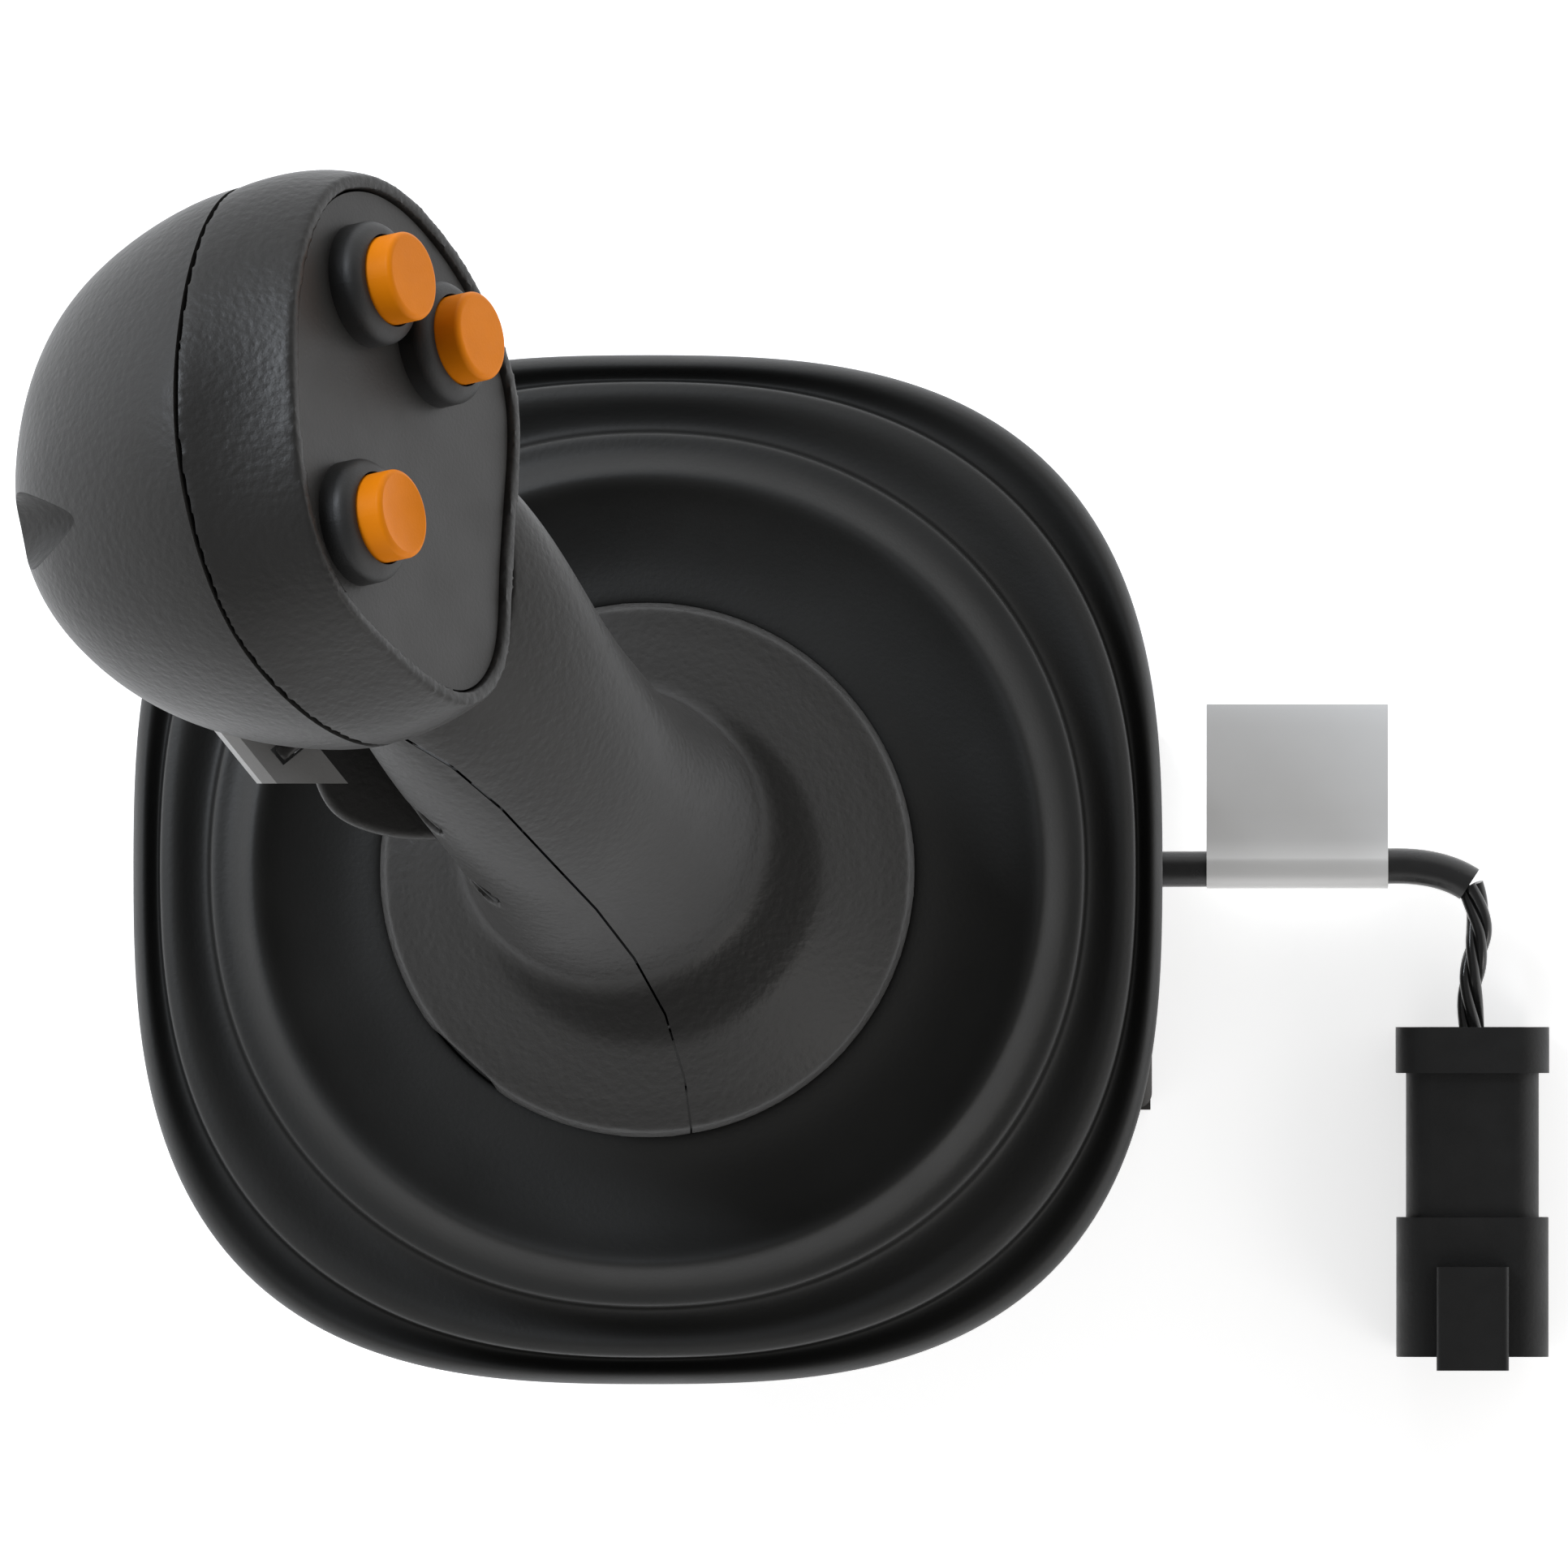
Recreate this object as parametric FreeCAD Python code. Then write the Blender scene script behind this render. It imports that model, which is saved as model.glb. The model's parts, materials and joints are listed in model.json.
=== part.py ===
import FreeCAD
import Part

import math
import os

from FreeCAD import Vector

# Panel-mount joystick. Millimetres, +Z up, origin on the lever's axis at the flat underside of the base.
# The operator sits on the +X side; the grip leans away towards -X and +Y.

# Base stack, from the underside up.
coverThick = 3.0
housingTop = 56.0
flangeThick = 5.0
gateThick = 3.0
housingHalf = 54.0
housingCorner = 42.0
housingWall = 4.0
flangeOpening = 32.0
mountPitch = 94.0
mountHoleRadius = 2.75

flangeLow = housingTop
flangeTop = housingTop + flangeThick
gateTop = flangeTop + gateThick

# Gimbal.
pivotHeight = 43.0
leverSwing = 15.0
pinRadius = 3.0
runningGap = 0.04
bushWall = 1.5
ringOuter = 26.0
ringWall = 5.0
ringHeight = 11.0
shaftRadius = 6.0
shaftBore = 3.2
shaftLow = 22.0
blockReach = 43.0

# Gaiter. Each outline is a rounded square |x|^p + |y|^p = half^p.
gaiterHalf = 71.7
gaiterPower = 2.87
gaiterSkin = 1.4
gaiterPoints = 32
neckRadius = 22.2
neckLow = flangeTop + 27.4
flangeHalf = gaiterHalf - 5.1

# Grip.
skirtRadius = 37.2
skirtLow = flangeTop + 36.0
shaftTop = skirtLow + 15.0
gripWall = 3.0
seamGap = 0.3
headTilt = 60.0
headTurn = 12.0
panelCentre = Vector(-33.5, 57.6, skirtLow + 108.0)
panelThick = 3.0
panelGap = 0.35
rimWidth = 2.2
rimProud = 1.0
seamDepth = 14.0

# Buttons.
buttonPlaces = [(23.3, 1.3), (13.4, -13.7), (-8.4, 17.3)]
capRadius = 6.2
capHeight = 8.4
capEdge = 0.8
buttonTravel = 1.5
bootRadius = 8.65
bootHeight = 4.6
slideGap = 0.3

# Trigger.
triggerReach = 8.8
triggerLength = 30.0
triggerDrop = 27.0
triggerPinRadius = 1.5

# Side box, cable and connector.
sideBoxFace = 70.3
sideBoxLow = -33.3
sideBoxHigh = 20.0
sideBoxTop = 46.0
cableRadius = 2.5
cableHeight = 10.7
wireRadius = 0.8
labelLength = 25.4
connectorX = 115.3
connectorHeight = 21.0

screwGap = 0.15

X = Vector(1, 0, 0)
Y = Vector(0, 1, 0)
Z = Vector(0, 0, 1)
pivot = Vector(0, 0, pivotHeight)


def facing():
    """The panel's outward normal and its two in-plane directions, across and up."""
    tilt = math.radians(headTilt)
    turn = math.radians(headTurn)
    normal = Vector(math.sin(tilt) * math.cos(turn), math.sin(tilt) * math.sin(turn), math.cos(tilt))
    across = Vector(-math.sin(turn), math.cos(turn), 0)
    return normal, across, normal.cross(across)


panelNormal, panelAcross, panelUp = facing()


def onHead(across, up, depth):
    """A point of the head, from its place on the panel and its depth behind the panel's face."""
    return panelCentre + panelAcross * across + panelUp * up - panelNormal * depth


def save(name, solids):
    if not isinstance(solids, list):
        solids = [solids]
    shape = solids[0] if len(solids) == 1 else Part.makeCompound(solids)
    shape.exportStep("parts/" + name + ".step")
    print(name, "solids", len(shape.Solids), "volume", round(shape.Volume), "valid", shape.isValid())


def box(low, high):
    return Part.makeBox(high[0] - low[0], high[1] - low[1], high[2] - low[2], Vector(*low))


def rod(radius, start, direction, length):
    return Part.makeCylinder(radius, length, start, direction)


def tube(outer, inner, start, direction, length):
    return rod(outer, start, direction, length).cut(rod(inner, start - direction, direction, length + 2))


def roundedPlate(half, corner, low, high):
    """A square plate with rounded upright edges."""
    plate = box((-half, -half, low), (half, half, high))
    upright = [e for e in plate.Edges if abs(e.Vertexes[0].Z - e.Vertexes[1].Z) > 0.5 * (high - low)]
    return plate.makeFillet(corner, upright)


def corners(reach):
    return [Vector(sx * reach, sy * reach, 0) for sx in (-1, 1) for sy in (-1, 1)]


def rimAt(solid, centre):
    """The round edges whose centre is at a place."""
    rounds = [edge for edge in solid.Edges if edge.Curve.TypeId == "Part::GeomCircle"]
    return [edge for edge in rounds if (edge.Curve.Center - centre).Length < 0.1]


def screw(seat, direction, radius, length, headRadius, headHeight):
    """A socket screw whose head stands on the seat and whose shank runs along the direction."""
    shank = rod(radius, seat, direction, length)
    top = seat - direction * headHeight
    head = rod(headRadius, top, direction, headHeight)
    head = head.makeFillet(0.15 * headRadius, rimAt(head, top))
    side = direction.cross(X if abs(direction.x) < 0.7 else Y).normalize()
    sixth = FreeCAD.Rotation(direction, 60)
    ring = []
    for k in range(6):
        ring.append(top - direction * 0.1 + side * (0.52 * headRadius))
        side = sixth.multVec(side)
    socket = Part.Face(Part.makePolygon(ring + ring[:1])).extrude(direction * (0.6 * headHeight))
    return shank.fuse(head).removeSplitter().cut(socket)


def closedCurve(points):
    curve = Part.BSplineCurve()
    curve.interpolate(points, PeriodicFlag=True)
    return Part.Wire([curve.toShape()])


def loft(rings, ruled=False):
    return Part.makeLoft([closedCurve(ring) for ring in rings], True, ruled)


def ovalRing(centre, alongX, alongY, count=12):
    ring = []
    for k in range(count):
        turn = 2 * math.pi * k / count
        ring.append(centre + Vector(alongX * math.cos(turn), alongY * math.sin(turn), 0))
    return ring


def revolve(outline):
    wire = Part.makePolygon([Vector(r, 0, z) for r, z in outline + outline[:1]])
    return Part.Face(wire).revolve(Vector(0, 0, 0), Z, 360)


# Base

def buildHousing():
    cup = roundedPlate(housingHalf, housingCorner, coverThick, housingTop)
    innerHalf = housingHalf - housingWall
    inside = roundedPlate(innerHalf, housingCorner - housingWall, coverThick - 1, housingTop + 1)
    body = cup.cut(inside)
    for place in corners(bossReach):
        boss = rod(bossRadius, place + Z * coverThick, Z, housingTop - coverThick)
        body = body.fuse(boss)
    for place in corners(bossReach):
        body = body.cut(rod(screwRadius + screwGap, place, Z, housingTop + 1))
    window = box((housingHalf - 8, -6, cableHeight - 5), (housingHalf + 1, 6, cableHeight + 5))
    return body.cut(window)


bossReach = 37.0
bossRadius = 5.0
screwRadius = 2.0


def buildBottomCover():
    plate = roundedPlate(housingHalf, housingCorner, 0, coverThick - sealThick)
    for place in corners(bossReach):
        plate = plate.cut(rod(screwRadius + screwGap, place - Z, Z, coverThick + 2))
        plate = plate.cut(rod(3.6, place - Z, Z, 1 + 1.2))
    low = coverThick - sealThick
    for place in boardScrewPlaces():
        plate = plate.fuse(rod(3.0, place + Z * low, Z, boardHeight - low))
        plate = plate.cut(rod(1.25, place + Z * (low + 0.5), Z, boardHeight))
    return plate


sealThick = 0.8


def buildBottomSeal():
    low = coverThick - sealThick
    plate = roundedPlate(housingHalf - 0.6, housingCorner - 0.6, low, coverThick)
    inside = roundedPlate(housingHalf - housingWall, housingCorner - housingWall, low - 1, coverThick + 1)
    ring = plate.cut(inside)
    for place in corners(bossReach):
        ring = ring.fuse(rod(bossRadius, place + Z * low, Z, sealThick))
    for place in corners(bossReach):
        ring = ring.cut(rod(screwRadius + screwGap, place, Z, coverThick + 1))
    return ring


def buildBottomScrews():
    return [screw(place + Z * 1.2, Z, screwRadius, 14, 3.4, 1.1) for place in corners(bossReach)]


def buildFlange():
    plate = Part.Face(closedCurve(roundedSquare(flangeHalf, gaiterPower, flangeLow))).extrude(Z * flangeThick)
    plate = plate.cut(rod(flangeOpening, Z * (flangeLow - 1), Z, flangeThick + 2))
    for place in corners(mountPitch / 2):
        plate = plate.cut(rod(mountHoleRadius, place + Z * (flangeLow - 1), Z, flangeThick + 2))
    for place in corners(bossReach):
        plate = plate.cut(rod(screwRadius + screwGap, place + Z * (flangeLow - 1), Z, flangeThick + 2))
    for place in bearingScrewPlaces() + gateScrewPlaces():
        plate = plate.cut(rod(1.5 + screwGap, place + Z * (flangeLow - 1), Z, flangeThick + 2))
    return plate


def buildFlangeScrews():
    return [screw(place + Z * flangeTop, Z * -1, screwRadius, 16, 3.5, 2.2) for place in corners(bossReach)]


gateHalf = 38.5
gateCorner = 22.0
gateScrewReach = 35.0


def gateScrewPlaces():
    return [Vector(0, -gateScrewReach, 0), Vector(0, gateScrewReach, 0)]


def gateOpeningHalf():
    """The shaft just clears the gate's upper edge at the end of its swing."""
    swing = math.radians(leverSwing)
    return (gateTop - pivotHeight) * math.tan(swing) + shaftRadius / math.cos(swing) + slideGap


def buildGate():
    plate = roundedPlate(gateHalf, gateCorner, flangeTop, gateTop)
    half = gateOpeningHalf()
    opening = roundedPlate(half, shaftRadius, flangeTop - 1, gateTop + 1)
    plate = plate.cut(opening)
    for place in bearingScrewPlaces():
        plate = plate.cut(rod(3.4, place + Z * (flangeTop - 1), Z, gateThick + 2))
    for place in gateScrewPlaces():
        plate = plate.cut(rod(1.5 + screwGap, place + Z * (flangeTop - 1), Z, gateThick + 2))
    return plate


def buildGimbalScrews():
    """Equal screws: four hold the bearing blocks under the flange, two hold the gate on it."""
    seats = [place + Z * flangeTop for place in bearingScrewPlaces()]
    seats += [place + Z * gateTop for place in gateScrewPlaces()]
    return [screw(seat, Z * -1, 1.45, flangeThick + 6, 2.8, 1.8) for seat in seats]


blockHalf = 10.0
blockInner = 30.0
bearingScrewSide = 6.0


def bearingScrewPlaces():
    middle = 0.5 * (blockInner + blockReach) - 2
    return [Vector(sx * middle * 0.97, sy * bearingScrewSide, 0) for sx in (-1, 1) for sy in (-1, 1)]


def buildBearingBlocks():
    blocks = []
    for side in (-1, 1):
        low = min(side * blockInner, side * blockReach)
        block = box((low, -blockHalf, pivotHeight - 8),
                    (low + blockReach - blockInner, blockHalf, flangeLow))
        bore = rod(pinRadius + bushWall, pivot + X * (side * blockReach + side), X * -side, 100)
        block = block.cut(bore)
        for place in bearingScrewPlaces():
            block = block.cut(rod(1.5, place + Z * (flangeLow - 6.5), Z, 8))
        blocks.append(block)
    return blocks


def buildPitchBushes():
    length = blockReach - blockInner
    outer = pinRadius + bushWall
    inner = pinRadius + runningGap
    return [tube(outer, inner, pivot + X * (side * blockInner), X * side, length) for side in (-1, 1)]


boardHeight = 9.0
boardHalf = 34.0
boardScrewReach = 28.0


def buildMainBoard():
    board = box((-boardHalf, -boardHalf, boardHeight), (boardHalf, boardHalf, boardHeight + 1.6))
    for sx in (-1, 1):
        for sy in (-1, 1):
            corner = box((-9, -9, -1), (9, 9, 5))
            corner.rotate(Vector(0, 0, 0), Z, 45)
            corner.translate(Vector(sx * boardHalf, sy * boardHalf, boardHeight))
            board = board.cut(corner)
    for place in boardScrewPlaces():
        board = board.cut(rod(1.25 + screwGap, place + Z * (boardHeight - 1), Z, 4))
    return board


def boardScrewPlaces():
    return [Vector(x, y, 0) for x in (-boardScrewReach, boardScrewReach) for y in (-16, 16)]


def buildBoardScrews():
    return [screw(place + Z * (boardHeight + 1.6), Z * -1, 1.2, 6, 2.3, 1.6) for place in boardScrewPlaces()]


def buildSensors():
    """Field sensors on the board, one under each magnet, with their leads joined to their feet."""
    chips = []
    for x, y in ((0, 0), (12, 18), (-14, -16)):
        chip = box((x - 4, y - 4, boardHeight + 1.6), (x + 4, y + 4, boardHeight + 3.4))
        chips.append(chip)
    return chips


# Side box, cable and connector

def buildSideBox():
    face = sideBoxFace
    outer = box((housingHalf + 0.1, sideBoxLow, coverThick), (face, sideBoxHigh, sideBoxTop))
    long = [e for e in outer.Edges if e.BoundBox.XMin > face - 1 and e.BoundBox.XLength < 1]
    outer = outer.makeFillet(2.2, long)
    far = (face - 3, sideBoxHigh - 3, sideBoxTop - 3)
    inner = box((housingHalf - 1, sideBoxLow + 3, coverThick - 1), far)
    shell = outer.cut(inner)
    shell = shell.cut(rod(glandRadius + screwGap, Vector(face - 6, 0, cableHeight), X, 12))
    for place in sideBoxScrewPlaces():
        boss = rod(3.0, place + Z * coverThick, Z, 12)
        shell = shell.fuse(boss)
    for place in sideBoxScrewPlaces():
        shell = shell.cut(rod(1.5, place, Z, 14))
    return shell


glandRadius = 6.0


def sideBoxScrewPlaces():
    middle = 0.5 * (housingHalf + sideBoxFace)
    return [Vector(middle, sideBoxLow + 5.4, 0), Vector(middle, sideBoxHigh - 5.4, 0)]


def buildSideBoxCover():
    lip = 0.4
    plate = box((housingHalf + 0.1, sideBoxLow - lip, 0.4), (sideBoxFace, sideBoxHigh + lip, coverThick))
    for place in sideBoxScrewPlaces():
        plate = plate.cut(rod(1.5 + screwGap, place, Z, 5))
        plate = plate.cut(rod(2.9, place, Z, 1.6))
    return plate


def buildSideBoxScrews():
    return [screw(place + Z * 1.6, Z, 1.4, 10, 2.7, 1.1) for place in sideBoxScrewPlaces()]


def buildGland():
    """The moulded bush that the cable leaves the side box through."""
    inside = rod(glandRadius + 1.6, Vector(sideBoxFace - 5, 0, cableHeight), X, 2)
    neck = rod(glandRadius, Vector(sideBoxFace - 3, 0, cableHeight), X, 3)
    collar = rod(glandRadius + 1.4, Vector(sideBoxFace, 0, cableHeight), X, 1.2)
    bush = inside.fuse([neck, collar]).removeSplitter()
    return bush.cut(rod(cableRadius + 0.02, Vector(sideBoxFace - 10, 0, cableHeight), X, 20))


cableRoute = [
    Vector(66.0, 0.0, cableHeight),
    Vector(80.0, 0.0, cableHeight),
    Vector(97.0, 0.3, cableHeight),
    Vector(110.8, 0.6, cableHeight),
    Vector(114.9, -2.1, cableHeight),
]


def arcRadius(before, point, after):
    """The tangent arc's radius at a point of the route, and half of the turn there."""
    into = point - before
    out = after - point
    half = 0.5 * into.getAngle(out)
    shorter = min(into.Length, out.Length)
    return 0.45 * shorter / math.tan(half), half


def buildTube(route, radius, name):
    edges = []
    start = route[0]
    length = 0
    for k in range(1, len(route) - 1):
        bend, half = arcRadius(route[k - 1], route[k], route[k + 1])
        into = (route[k] - route[k - 1]).normalize()
        out = (route[k + 1] - route[k]).normalize()
        back = bend * math.tan(half)
        first = route[k] - into * back
        last = route[k] + out * back
        inward = (out - into).normalize()
        centre = route[k] + inward * (bend / math.cos(half))
        middle = centre - inward * bend
        edges.append(Part.LineSegment(start, first).toShape())
        edges.append(Part.Arc(first, middle, last).toShape())
        start = last
        print(name, "bend", k, "radius", round(bend, 1))
    edges.append(Part.LineSegment(start, route[-1]).toShape())
    path = Part.Wire(edges)
    ring = Part.Wire([Part.makeCircle(radius, route[0], route[1] - route[0])])
    solid = path.makePipeShell([ring], True, False)
    expected = math.pi * radius * radius * path.Length
    print(name, "length", round(path.Length, 1), "volume over expected", round(solid.Volume / expected, 4))
    return solid


wireRoute = [
    Vector(115.0, -2.2, cableHeight),
    Vector(116.6, -6.8, cableHeight),
    Vector(115.7, -12.2, cableHeight + 0.3),
    Vector(114.7, -17.6, cableHeight + 0.1),
    Vector(115.3, -23.0, cableHeight),
]


def buildWires():
    """The bundle of four twisted wires between the jacket's cut end and the connector, as one round cord."""
    return buildTube(wireRoute, 2.4 * wireRadius, "cable_wires")


def buildLabel():
    """A wrap round the cable and its flat flag."""
    start = Vector(78.1, 0.25, cableHeight)
    wrap = tube(cableRadius + 0.9, cableRadius + 0.55, start, X, labelLength)
    flag = box((78.1, 2.9, cableHeight - 0.25), (78.1 + labelLength, 23.1, cableHeight + 0.25))
    return wrap.fuse(flag).removeSplitter()


def slab(low, high, edge):
    block = box(low, high)
    along = [e for e in block.Edges if abs(e.Vertexes[0].Y - e.Vertexes[1].Y) > 1]
    return block.makeFillet(edge, along)


def connectorSlab(width, height, far, near, edge):
    low = (connectorX - width / 2, far, 0.5 * connectorHeight + 0.2 - height / 2)
    high = (connectorX + width / 2, near, 0.5 * connectorHeight + 0.2 + height / 2)
    return slab(low, high, edge)


def buildConnectorBody():
    rear = connectorSlab(21.4, connectorHeight, -28.5, -22.1, 4.2)
    middle = connectorSlab(18.5, 18.0, -48.7, -28.5, 3.4)
    front = connectorSlab(21.2, 20.4, -68.2, -48.7, 4.0)
    body = rear.fuse([middle, front]).removeSplitter()
    socket = connectorSlab(16.4, 15.6, -69.0, -56.0, 2.6)
    pocket = connectorSlab(15.0, 13.6, -30.0, -21.0, 2.4)
    body = body.cut(socket).cut(pocket)
    for x, z in pinPlaces():
        body = body.cut(rod(1.3, Vector(x, -75, z), Y, 60))
    return body


def pinPlaces():
    middle = 0.5 * connectorHeight + 0.2
    return [(connectorX + sx * 3.4, middle + sz * 3.2) for sx in (-1, 1) for sz in (-1, 1)]


def buildWireSeal():
    """The rubber seal in the connector's rear, with the wires' entry."""
    seal = connectorSlab(14.8, 13.4, -30.0, -22.9, 2.3)
    return seal.cut(rod(2.4 * wireRadius + 0.1, Vector(connectorX, -26.0, cableHeight), Y, 6))


def buildConnectorLock():
    """The latch bridge on the connector's upper side."""
    low = connectorHeight * 0.5 + 0.2 + 10.25
    bridge = box((110.2, -70.1, low), (120.3, -55.6, low + 2.6))
    along = [e for e in bridge.Edges if e.BoundBox.ZMin > low + 2 and e.BoundBox.YLength > 5]
    return bridge.makeFillet(0.6, along)


def buildPins():
    return [rod(1.2, Vector(x, -66.0, z), Y, 34) for x, z in pinPlaces()]


# Gaiter

def roundedSquare(half, power, height):
    ring = []
    for k in range(gaiterPoints):
        turn = 2 * math.pi * k / gaiterPoints
        c = math.cos(turn)
        s = math.sin(turn)
        reach = half / (abs(c) ** power + abs(s) ** power) ** (1 / power)
        ring.append(Vector(reach * c, reach * s, height))
    return ring


def skinSolid(profile):
    """A ring-shaped solid whose section is a closed profile of (half width, power, height)."""
    wires = [closedCurve(roundedSquare(*place)) for place in profile]
    faces = []
    for first, second in zip(wires, wires[1:] + wires[:1]):
        faces += Part.makeLoft([first, second], False, True).Faces
    shell = Part.makeShell(faces)
    shell.sewShape()
    solid = Part.Solid(shell)
    if solid.Volume < 0:
        solid.reverse()
    return solid


# The gaiter's upper surface from its rim to its neck: share of the way from the neck's radius to the
# rim's half width, power of the outline, and rise above the flange.
gaiterShape = [
    (1.0, gaiterPower, 1.0),
    (0.980, gaiterPower, 5.0),
    (0.933, 2.6, 4.0),
    (0.923, 2.46, 10.0),
    (0.881, 2.4, 10.5),
    (0.796, 2.2, 10.0),
    (0.780, 2.13, 16.0),
    (0.723, 2.1, 16.5),
    (0.661, 2.05, 19.5),
    (0.562, 2.0, 16.0),
    (0.420, 2.0, 13.6),
    (0.299, 2.0, 14.4),
    (0.178, 2.0, 18.0),
    (0.077, 2.0, 22.5),
    (0.010, 2.0, 27.0),
    (0.0, 2.0, 33.0),
]


def buildGaiter():
    rimLow = flangeLow + 0.4
    line = [(neckRadius + share * (gaiterHalf - neckRadius), power, flangeTop + rise)
            for share, power, rise in gaiterShape]
    outer = [(gaiterHalf, gaiterPower, rimLow)] + line
    under = []
    for half, power, height in line[2:]:
        under.append((half - gaiterSkin, power, height - gaiterSkin))
    under[-1] = (neckRadius - gaiterSkin, 2.0, line[-1][2])
    rimInner = flangeHalf + 0.5
    inner = [(rimInner, gaiterPower, rimLow), (rimInner, gaiterPower, flangeTop + 1.0)]
    return skinSolid(outer + list(reversed(under)) + list(reversed(inner)))


def buildRetainer():
    """The pressed ring that clamps the gaiter's rim down on the flange."""
    low = flangeTop + 0.3
    outer = closedCurve(roundedSquare(flangeHalf - 3.4, 2.6, low))
    plate = Part.Face(outer).extrude(Z * 1.5)
    inner = Part.Face(closedCurve(roundedSquare(52.0, 2.6, low - 1))).extrude(Z * 4)
    ring = plate.cut(inner)
    for place in corners(mountPitch / 2):
        ring = ring.cut(rod(5.8, place + Z * (low - 1), Z, 5))
    return ring


# Gimbal

def buildRing():
    half = ringOuter
    outer = box((-half, -half, pivotHeight - ringHeight / 2), (half, half, pivotHeight + ringHeight / 2))
    upright = [e for e in outer.Edges if e.BoundBox.ZLength > 5]
    outer = outer.makeFillet(5, upright)
    inner = half - ringWall
    hole = box((-inner, -inner, 0), (inner, inner, 90))
    ring = outer.cut(hole)
    ring = ring.cut(rod(pinRadius, pivot - X * 60, X, 120))
    return ring.cut(rod(pinRadius + bushWall, pivot - Y * 60, Y, 120))


def buildPitchPins():
    inner = ringOuter - ringWall
    length = blockReach - inner - 1
    return [rod(pinRadius, pivot + X * (side * inner), X * side, length) for side in (-1, 1)]


def buildRollBushes():
    inner = ringOuter - ringWall
    return [tube(pinRadius + bushWall, pinRadius + runningGap, pivot + Y * (side * inner), Y * side, ringWall)
            for side in (-1, 1)]


yokeHalfX = 12.0
yokeHalfY = 18.0


def buildYoke():
    block = box((-yokeHalfX, -yokeHalfY, pivotHeight - 6), (yokeHalfX, yokeHalfY, pivotHeight + 6))
    upright = [e for e in block.Edges if e.BoundBox.ZLength > 5]
    block = block.makeFillet(3, upright)
    block = block.fuse(rod(9.0, pivot + Z * 5, Z, 5))
    block = block.cut(rod(shaftRadius, pivot - Z * 20, Z, 50))
    block = block.cut(rod(pinRadius, pivot - Y * 60, Y, 120))
    return block.cut(rod(1.5, pivot, X, 40))


def buildRollPins():
    length = ringOuter + 1 - shaftRadius
    return [rod(pinRadius, pivot + Y * (side * shaftRadius), Y * side, length) for side in (-1, 1)]


def buildSetScrew():
    pin = rod(1.45, pivot + X * (shaftRadius + 0.1), X, 7)
    return pin.cut(rod(0.7, pivot + X * (shaftRadius + 5), X, 5))


def buildShaft():
    body = tube(shaftRadius, shaftBore, Z * shaftLow, Z, shaftTop - shaftLow)
    slot = box((-1.6, -shaftRadius - 1, shaftTop - 12), (1.6, 0, shaftTop + 1))
    return body.cut(slot)


def coilSpring(radius, wire, centre, axis, pitch, halfTurns):
    """A coil whose wire runs in half circles, each a little further along the axis."""
    arcs = []
    for k in range(halfTurns):
        side = 1 if k % 2 == 0 else -1
        low = 0.5 * pitch * k
        first = Vector(side * radius, 0, low)
        middle = Vector(0, side * radius, low + 0.25 * pitch)
        last = Vector(-side * radius, 0, low + 0.5 * pitch)
        arcs.append(Part.Arc(first, middle, last).toShape())
    ring = Part.Wire([Part.makeCircle(wire, Vector(radius, 0, 0), Y)])
    solid = Part.Wire(arcs).makePipeShell([ring], True, False)
    solid.rotate(Vector(0, 0, 0), Z.cross(axis), math.degrees(Z.getAngle(axis)))
    solid.translate(centre)
    return solid


def buildPitchSpring():
    """A torsion coil round the pitch pin, between the ring and the bearing block."""
    return coilSpring(4.2, 0.5, pivot + X * (ringOuter + 0.7), X, 1.2, 4)


def buildRollSpring():
    """A torsion coil round the roll pin, between the yoke and the ring."""
    return coilSpring(4.2, 0.4, pivot + Y * (yokeHalfY + 0.5), Y, 1.0, 4)


def buildPitchMagnet():
    return box((-4, -ringOuter + 0.5, pivotHeight - 9.1), (4, -ringOuter + 4.5, pivotHeight - 6.1))


def buildMagnetHolder():
    """The cup on the shaft's lower end, with its magnet's seat."""
    cup = rod(8.0, Z * (shaftLow - 3.5), Z, 8)
    cup = cup.makeFillet(1.0, [cup.Edges[0], cup.Edges[2]])
    cup = cup.cut(rod(shaftRadius + 0.02, Z * shaftLow, Z, 9))
    return cup.cut(rod(4.02, Z * (shaftLow - 4), Z, 2.5))


def buildLeverMagnet():
    return rod(4.0, Z * (shaftLow - 3.5), Z, 2.0)


# Grip

# The stalk's level sections: rise above the skirt's low edge, centre, half widths along X and Y.
stalkLine = [
    (3.0, -2.0, 2.0, 24.5, 24.0),
    (15.0, -4.0, 4.0, 21.5, 21.0),
    (29.0, -9.0, 9.0, 19.0, 18.6),
    (45.0, -15.0, 16.0, 18.2, 18.2),
    (61.0, -22.0, 25.5, 18.0, 19.0),
    (73.0, -28.0, 35.0, 17.0, 21.0),
    (81.0, -33.0, 40.0, 15.0, 20.0),
]


def stalk(inset):
    rings = []
    for rise, x, y, halfX, halfY in stalkLine:
        rings.append(ovalRing(Vector(x, y, skirtLow + rise), halfX - inset, halfY - inset))
    return loft(rings)


def skirt(inset):
    """The palm rest: a shallow round cone with a soft rim."""
    r = skirtRadius - inset
    low = skirtLow if inset == 0 else skirtLow - 1
    top = skirtLow + 17 - inset
    side = skirtLow + 6 - 0.6 * inset
    outline = [(0, low), (r - 2.2, low), (r - 0.5, low + 1.4), (r, low + 3.4), (r - 0.9, side),
               (r - 4.5, side + 2.4), (24 - inset, top - 2.0), (16, top), (0, top + 0.6)]
    return revolve(outline)


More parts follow.
